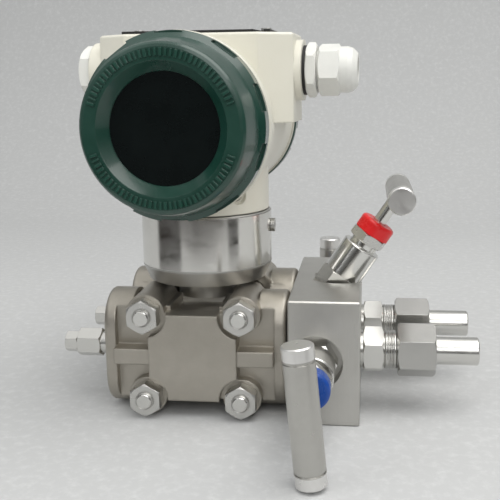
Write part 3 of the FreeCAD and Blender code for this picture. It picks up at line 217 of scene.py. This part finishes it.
def cream_coat():
    """Cream powder coat with a slight orange peel."""
    look = Look("cream_coat", Base_Color=rgb(0.74, 0.72, 0.62), Roughness=0.38, Coat_Weight=0.25,
                Coat_Roughness=0.22)
    place = look.point()
    peel = look.noise(place, scale=620.0, detail=2.0)
    dust = look.noise(place, scale=30.0, detail=5.0, rough=0.6)
    look.set("Base Color", look.mix(dust, rgb(0.70, 0.68, 0.58), rgb(0.78, 0.76, 0.67)))
    look.set("Roughness", look.ramp(dust, low=0.3, high=0.7, start=0.33, end=0.45))
    look.set("Normal", look.bump(peel, 0.10 * MM, strength=0.35, normal=look.edges(1.3 * MM)))
    return look.material


def green_enamel(name, lift=1.0):
    """Dark green stoving enamel over a casting. The lift makes it lighter; a lift above 1 gives a copy with a
    painted highlight.
    """
    look = Look(name, Base_Color=tinted((0.006, 0.043, 0.030), lift), Roughness=0.34, Coat_Weight=0.6,
                Coat_Roughness=0.12)
    place = look.point()
    peel = look.noise(place, scale=480.0, detail=3.0)
    wear = look.noise(place, scale=45.0, detail=5.0, rough=0.62)
    look.set("Base Color", look.mix(wear, tinted((0.004, 0.030, 0.020), lift),
                                    tinted((0.009, 0.058, 0.040), lift)))
    look.set("Roughness", look.ramp(wear, low=0.3, high=0.7, start=0.24, end=0.40))
    look.set("Normal", look.bump(peel, 0.12 * MM, strength=0.4, normal=look.edges(0.9 * MM)))
    return look.material


def dark_window():
    """Thick glass over a dark display, with faint smears."""
    look = Look("dark_window", Base_Color=rgb(0.004, 0.006, 0.006), Roughness=0.06)
    look.set("Specular IOR Level", 0.22)
    smears = look.noise(look.point(), scale=60.0, detail=5.0, rough=0.65)
    look.set("Base Color", look.mix(smears, rgb(0.003, 0.004, 0.004), rgb(0.007, 0.010, 0.010)))
    look.set("Roughness", look.ramp(smears, low=0.4, high=0.75, start=0.04, end=0.16))
    return look.material


def moulded(name, colour, rough):
    """Moulded plastic or rubber with a fine skin and slight shade changes."""
    look = Look(name, Base_Color=rgb(*colour), Roughness=rough)
    place = look.point()
    skin = look.noise(place, scale=900.0, detail=2.0)
    shade = look.noise(place, scale=70.0, detail=4.0)
    look.set("Base Color", look.mix(shade, tinted(colour, 0.86), tinted(colour, 1.1, most=0.95)))
    look.set("Roughness", look.ramp(shade, low=0.3, high=0.7, start=rough * 0.85, end=rough * 1.15))
    look.set("Normal", look.bump(skin, 0.05 * MM, strength=0.3, normal=look.edges(0.5 * MM)))
    return look.material


def band_steel():
    """Polished name band with smears that run round the collar."""
    look = Look("band_steel", Base_Color=rgb(0.74, 0.73, 0.70), Metallic=1.0, Roughness=0.22)
    place = look.point((NECK.x, NECK.y, 0))
    smears = look.noise(look.stretched(place, (60, 60, 140)), scale=1.0, detail=4.0)
    look.set("Base Color", look.mix(smears, rgb(0.62, 0.61, 0.58), rgb(0.80, 0.79, 0.76)))
    look.set("Roughness", look.ramp(smears, low=0.2, high=0.5, start=0.07, end=0.20))
    look.set("Normal", look.edges(0.3 * MM))
    return look.material


def pale_paper():
    """Matt pale paper with faint fibres and specks."""
    look = Look("pale_paper", Base_Color=rgb(0.60, 0.61, 0.62), Roughness=0.85)
    look.set("Specular IOR Level", 0.1)
    fibre = look.noise(look.point(), scale=160.0, detail=6.0, rough=0.7)
    speck = look.noise(look.point(), scale=1000.0, detail=2.0)
    shade = look.ramp(fibre * fibre, low=0.225, high=0.575)
    look.set("Base Color", look.mix(shade, rgb(0.53, 0.535, 0.535), rgb(0.63, 0.635, 0.635)))
    look.set("Normal", look.bump(speck, 0.12 * MM, strength=0.4))
    return look.material


def paint(material, *names):
    """Give CAD nodes a material in place of their flat one."""
    for name in names:
        mesh = NODES[name].data
        mesh.materials.clear()
        mesh.materials.append(material)


def satin_reach(bar):
    """Distance from the centre of a cross bar to where its satin skin meets the bright end."""
    bright_end = 7 * MM
    low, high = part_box(bar)
    sides = sorted(high - low)
    return math.hypot(sides[-1] / 2 - bright_end, sides[0] / 2)


def dress_nodes():
    """Material of every CAD node."""
    block = middle("manifold_block")
    paint(brushed_block(), "manifold_block")
    paint(cast_steel(), "front_flange", "rear_flange")
    plain = turned_steel("steel_turned", block)
    for end in END_NAMES:
        paint(plain, f"{end}_adapter", f"{end}_weld_nipple", f"{end}_vent_body", f"{end}_vent_plug",
              f"{end}_vent_ball", f"{end}_bonnet", f"{end}_spindle", f"{end}_needle_tip")
    paint(plain, "bracket_screws", "flange_bolts")
    paint(turned_steel("steel_union_nuts", block, tone=0.50, rough=0.18), "union_nuts")
    paint(turned_steel("steel_nuts", block, tone=0.62, rough=0.26), "flange_nuts", "packing_nuts",
          "diaphragms")
    paint(turned_steel("steel_turned_on_tilt", middle("equalizing_bonnet"), tone=0.72, rough=0.16),
          "equalizing_bonnet", "equalizing_spindle", "equalizing_needle_tip")
    paint(turned_steel("steel_collar", NECK, tone=0.50, rough=0.36, edge=0.6 * MM), "sensor_body",
          "set_screw", "band_screw", "top_screws")
    for name in VALVE_NAMES:
        bar = f"{name}_handle"
        paint(bar_steel(f"{name}_bar_steel", middle(bar), satin_reach(bar)), bar)
    paint(band_steel(), "nameplate_band")
    paint(cream_coat(), "housing")
    paint(green_enamel("green_enamel"), "front_cover", "rear_cover")
    paint(dark_window(), "window_glass")
    paint(moulded("white_nylon", (0.78, 0.78, 0.74), 0.36), "gland_body", "gland_nut", "conduit_plug")
    paint(moulded("white_seal", (0.80, 0.80, 0.76), 0.45), "port_seals", "capsule_gaskets", "valve_packings")
    paint(moulded("black_rubber", (0.012, 0.012, 0.012), 0.6), "gland_washer", "gland_seal", "front_seal",
          "rear_seal", "top_gasket")
    paint(moulded("black_plate", (0.014, 0.014, 0.014), 0.45), "top_plate")
    paint(moulded("dark_plastic", (0.02, 0.022, 0.024), 0.4), "display_module", "terminal_block",
          "retainer_ring", "zero_button", "span_button")
    paint(moulded("blue_cap", (0.008, 0.065, 0.33), 0.3), "front_dust_cap", "rear_dust_cap")
    paint(moulded("red_cap", (0.80, 0.012, 0.014), 0.3), "equalizing_dust_cap")


# ---- extra pieces ----

def mesh_object(name, points, faces, material, smooth=False):
    """Mesh object made from arrays of points and faces."""
    mesh = bpy.data.meshes.new(name)
    mesh.from_pydata(points.reshape(-1, 3).tolist(), [], faces.tolist())
    mesh.polygons.foreach_set("use_smooth", np.full(len(mesh.polygons), smooth))
    mesh.materials.append(material)
    made = bpy.data.objects.new(name, mesh)
    bpy.context.scene.collection.objects.link(made)
    return made


def publish(piece, body):
    """Let a piece ride on a body."""
    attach(piece, body)


def vertices(node):
    """Places of a CAD node's vertices, one row each."""
    mesh = NODES[node].data
    flat = np.empty(len(mesh.vertices) * 3, dtype=np.float32)
    mesh.vertices.foreach_get("co", flat)
    return flat.reshape(-1, 3).astype(float)


def frame_on(way):
    """Two unit vectors square to a direction that isn't upright: the first level, all three right-handed."""
    across = Vector((-way.y, way.x, 0))
    across.normalize()
    return across, way.cross(across)


def round_skin(centre, way, along, radii, rises, steps):
    """Closed turned ring: radius against distance along an axis. Each row may rise by a length in a turn.

    The point at step j of row i is centre + way * (along[i] + rises[i] * a / 2 pi)
    + radii[i] * (first * cos a + second * sin a), where a = 2 pi j / steps. The last row joins the first one.
    """
    first, second = frame_on(way)
    angle = np.arange(steps) * (TURN / steps)
    ring = np.cos(angle)[:, None] * np.array(first) + np.sin(angle)[:, None] * np.array(second)
    place = along[:, None] + rises[:, None] * angle[None, :] / TURN
    points = (np.array(centre) + place[:, :, None] * np.array(way)
              + radii[:, None, None] * ring[None, :, :])
    rows = len(along)
    i, j = np.meshgrid(np.arange(rows), np.arange(steps), indexing="ij")
    k, after = (j + 1) % steps, (i + 1) % rows
    faces = np.stack([i * steps + j, i * steps + k, after * steps + k, after * steps + j], axis=-1)
    return points, faces.reshape(-1, 4)


def thread(name, centre, way, length, radius, steel):
    """Screw thread round a plain shaft of the base: crests in a helix between two plain closed ends.

    Over t turns of the profile the crest's radius is radius + pitch * (foot + swell * (1 - cos 2 pi t)).
    """
    pitch, foot, swell = 1.5 * MM, 0.05, 0.14
    run_in, run_out, step = 0.5, 1.5, 0.125
    sunk, proud, steps = 0.4 * MM, 0.02 * MM, 48
    turns = np.arange(run_in, length / pitch - run_out, step)
    crest = radius + pitch * (foot + swell * (1 - np.cos(TURN * turns)))
    plain_end = [radius - sunk, radius + proud]
    along = np.concatenate([[0, 0], turns * pitch, [length, length]])
    radii = np.concatenate([plain_end, crest, plain_end[::-1]])
    rises = np.concatenate([[0, 0], np.full(len(turns), pitch), [0, 0]])
    points, faces = round_skin(centre, way, along, radii, rises, steps)
    publish(mesh_object(name, points, faces, steel, smooth=True), "base")


def tip_centres(node, way):
    """Centres of the round ends that a CAD node shows farthest along a direction, one in each quarter."""
    depth_of_end = 0.05 * MM
    points = vertices(node)
    depth = points @ np.array(way)
    points = points[depth > depth.max() - depth_of_end]
    offset = points - points.mean(axis=0)
    first, second = (np.array(vector) for vector in frame_on(way))
    quarter = 2 * (offset @ first > 0) + (offset @ second > 0)
    quarters, seen_at = np.unique(quarter, return_index=True)
    return [points[quarter == number].mean(axis=0) for number in quarters[np.argsort(seen_at)]]


def add_bolt_threads(steel):
    """Threads on the ends of the flange bolts."""
    bare_end, length, radius = 4.6 * MM, 4.2 * MM, 4.95 * MM
    for side, way in (("front", Vector((0, -1, 0))), ("rear", Vector((0, 1, 0)))):
        for number, tip in enumerate(tip_centres("flange_bolts", way)):
            thread(f"{side}_bolt_thread_{number}", Vector(tip) - way * bare_end, way, length, radius, steel)


def add_adapter_threads(steel):
    """Threads of the two adapters, bare between their hexagons and the union nuts."""
    bare_gap, length, radius = 7.6 * MM, 7.4 * MM, 10.8 * MM
    nuts_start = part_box("union_nuts")[0].x
    for end in END_NAMES:
        hub = middle(f"{end}_weld_nipple")
        start = Vector((nuts_start - bare_gap, hub.y, hub.z))
        thread(f"{end}_adapter_thread", start, Vector((1, 0, 0)), length, radius, steel)


def boxes(centres, firsts, seconds, thirds):
    """Points and faces of many small blocks: centre and three half-edge vectors of each."""
    signs = np.array([[a, b, c] for a in (-1, 1) for b in (-1, 1) for c in (-1, 1)])
    edges = np.stack([firsts, seconds, thirds], axis=1)
    points = centres[:, None, :] + np.einsum("kc,ncd->nkd", signs, edges)
    corner = np.array([[0, 1, 3, 2], [4, 6, 7, 5], [0, 4, 5, 1], [2, 3, 7, 6], [0, 2, 6, 4], [1, 5, 7, 3]])
    faces = (np.arange(len(centres)) * len(signs))[:, None, None] + corner[None]
    return points, faces.reshape(-1, 4)


def add_cover_dashes(enamel):
    """Plain cast dashes that stand round the front cover's ring, in two arcs, in a lighter green that is a
    painted highlight.

    The dash at angle a stands at hub + radius * (first * cos a + second * sin a). Its width across the radius
    is wide * (0.55 + 0.45 * |sin 7.3 n|) for dash n, so that the widths are uneven.
    """
    radius, radial, wide, rise, lift = 37.6 * MM, 2.0 * MM, 0.85 * MM, 0.6 * MM, 0.1 * MM
    way = np.array(COVER_WAY)
    hub = np.array(joint("front_cover_turn")["pos_m"])
    face = (vertices("front_cover") @ way).max()
    hub = hub + way * (face + lift - hub @ way)
    first, second = (np.array(vector) for vector in frame_on(COVER_WAY))
    angle = np.radians(np.concatenate([np.arange(20, 161, 4.0), np.arange(200, 341, 4.0)]))[:, None]
    out = np.cos(angle) * first + np.sin(angle) * second
    side = np.cos(angle) * second - np.sin(angle) * first
    width = wide * (0.55 + 0.45 * np.abs(np.sin(7.3 * np.arange(len(angle)))))[:, None]
    points, faces = boxes(hub + out * radius, out * radial, side * width,
                          np.broadcast_to(way * rise, out.shape))
    publish(mesh_object("front_cover_dashes", points, faces, enamel), "front_lid")


# ---- studio ----

def sweep():
    """Floor and backdrop in one sheet: level, then a quarter round, then upright."""
    near, bend, radius, rise, half = -7.0, 0.55, 0.5, 0.9, 6.0
    turn = np.linspace(0, math.pi / 2, 24)
    back = np.concatenate([[near], bend + radius * np.sin(turn), [bend + radius]])
    up = np.concatenate([[0.0], radius - radius * np.cos(turn), [radius + rise]])
    line = np.stack([np.zeros(len(back)), back, up], axis=1)
    points = line[:, None, :] + np.array([[-half, 0, 0], [half, 0, 0]])
    rows = np.arange(len(back) - 1)[:, None] * 2
    sheet = mesh_object("paper_sweep", points, rows + np.array([[0, 1, 3, 2]]), pale_paper(), smooth=True)


def reflected_only(name, points, faces):
    """Dark sheet that only reflections see."""
    dark = Look(name, Base_Color=rgb(0.03, 0.025, 0.022), Roughness=0.9)
    card = mesh_object(name, points, faces, dark.material)
    card.visible_camera = card.visible_diffuse = card.visible_shadow = False


def dark_floor():
    """The room's floor past the near edge of the paper."""
    near, far, half, lift = -0.46, -7.0, 6.0, 1 * MM
    points = np.array([(-half, far, lift), (half, far, lift), (half, near, lift), (-half, near, lift)])
    reflected_only("dark_floor", points, np.array([[0, 1, 2, 3]]))


def dark_card(name, start, end, radius, height):
    """Dark upright card on an arc round the object, between two angles in degrees."""
    angle = np.radians(np.linspace(start, end, 12))
    foot = np.stack([NECK.x / 2 + radius * np.sin(angle), -radius * np.cos(angle), np.zeros(len(angle))],
                    axis=1)
    points = np.stack([foot, foot + (0, 0, height)], axis=1)
    rows = np.arange(len(angle) - 1)[:, None] * 2
    reflected_only(name, points, rows + np.array([[0, 2, 3, 1]]))


def lamp(name, place, size, power, tint):
    """Rectangular area lamp that points at the object."""
    aim = Vector((-0.03, 0.0, 0.1))
    light = bpy.data.lights.new(name, "AREA")
    light.shape = "RECTANGLE"
    light.size, light.size_y = size
    light.energy = power
    light.color = tint
    holder = bpy.data.objects.new(name, light)
    holder.location = place
    holder.rotation_euler = (aim - Vector(place)).to_track_quat("-Z", "Y").to_euler()
    bpy.context.scene.collection.objects.link(holder)


def room_light():
    """Pale grey world that is dim below the horizon and bright overhead."""
    world = bpy.data.worlds.new("room")
    world.use_nodes = True
    bpy.context.scene.world = world
    tree = world.node_tree
    toward = tree.nodes.new("ShaderNodeTexCoord").outputs["Generated"]
    split = tree.nodes.new("ShaderNodeSeparateXYZ")
    level = tree.nodes.new("ShaderNodeMapRange")
    for word, value in {"From Min": 0.05, "From Max": 0.75, "To Min": 0.10, "To Max": 1.0}.items():
        level.inputs[word].default_value = value
    background = tree.nodes["Background"]
    background.inputs["Color"].default_value = rgb(0.88, 0.88, 0.87)
    tree.links.new(toward, split.inputs["Vector"])
    tree.links.new(split.outputs["Z"], level.inputs["Value"])
    tree.links.new(level.outputs["Result"], background.inputs["Strength"])


def lights():
    """Broad lamp above, softer ones at the left and in front, and the room."""
    lamp("lamp_above", (0.35, -0.25, 1.15), size=(1.1, 0.9), power=8.5, tint=(1.0, 0.99, 0.97))
    lamp("lamp_left", (-1.1, -0.75, 0.55), size=(0.7, 1.0), power=3.5, tint=(0.96, 0.98, 1.0))
    lamp("lamp_front", (0.35, -1.3, 0.75), size=(1.3, 0.5), power=4.5, tint=(1, 1, 1))
    room_light()


def camera():
    """Camera a little above the object's middle, turned to the left and tipped down."""
    place = Vector((0.02286, -0.47307, 0.18803))
    yaw, pitch, roll = math.radians(6.30), math.radians(10.73), math.radians(-0.58)
    ahead = Vector((-math.sin(yaw) * math.cos(pitch), math.cos(yaw) * math.cos(pitch), -math.sin(pitch)))
    right = Vector((math.cos(yaw), math.sin(yaw), 0))
    up = right.cross(ahead)
    level = Matrix((right, up, -ahead)).transposed()
    lens = bpy.data.cameras.new("camera")
    lens.sensor_width = 36
    lens.lens = 57.76
    lens.shift_x, lens.shift_y = -0.060, -0.034
    lens.clip_start = 0.01
    holder = bpy.data.objects.new("camera", lens)
    holder.matrix_world = Matrix.Translation(place) @ (level @ Matrix.Rotation(roll, 3, "Z")).to_4x4()
    bpy.context.scene.collection.objects.link(holder)
    bpy.context.scene.camera = holder


# ---- the scene ----

dress_nodes()
add_bolt_threads(turned_steel("steel_threads", middle("manifold_block"), tone=0.55, rough=0.3))
add_adapter_threads(turned_steel("steel_fitting_threads", middle("union_nuts"), tone=0.6))
# The dashes' lighter green (lift 1.25) is a painted highlight on the raised marks.
add_cover_dashes(green_enamel("green_marks_painted_highlight", lift=1.25))
sweep()
dark_floor()
dark_card("dark_card_left", -80, -38, radius=0.40, height=0.34)
dark_card("dark_card_middle", -16, -6, radius=0.60, height=0.16)
dark_card("dark_card_right", 42, 62, radius=0.42, height=0.30)
lights()
camera()
bpy.context.scene.view_settings.view_transform = "Standard"
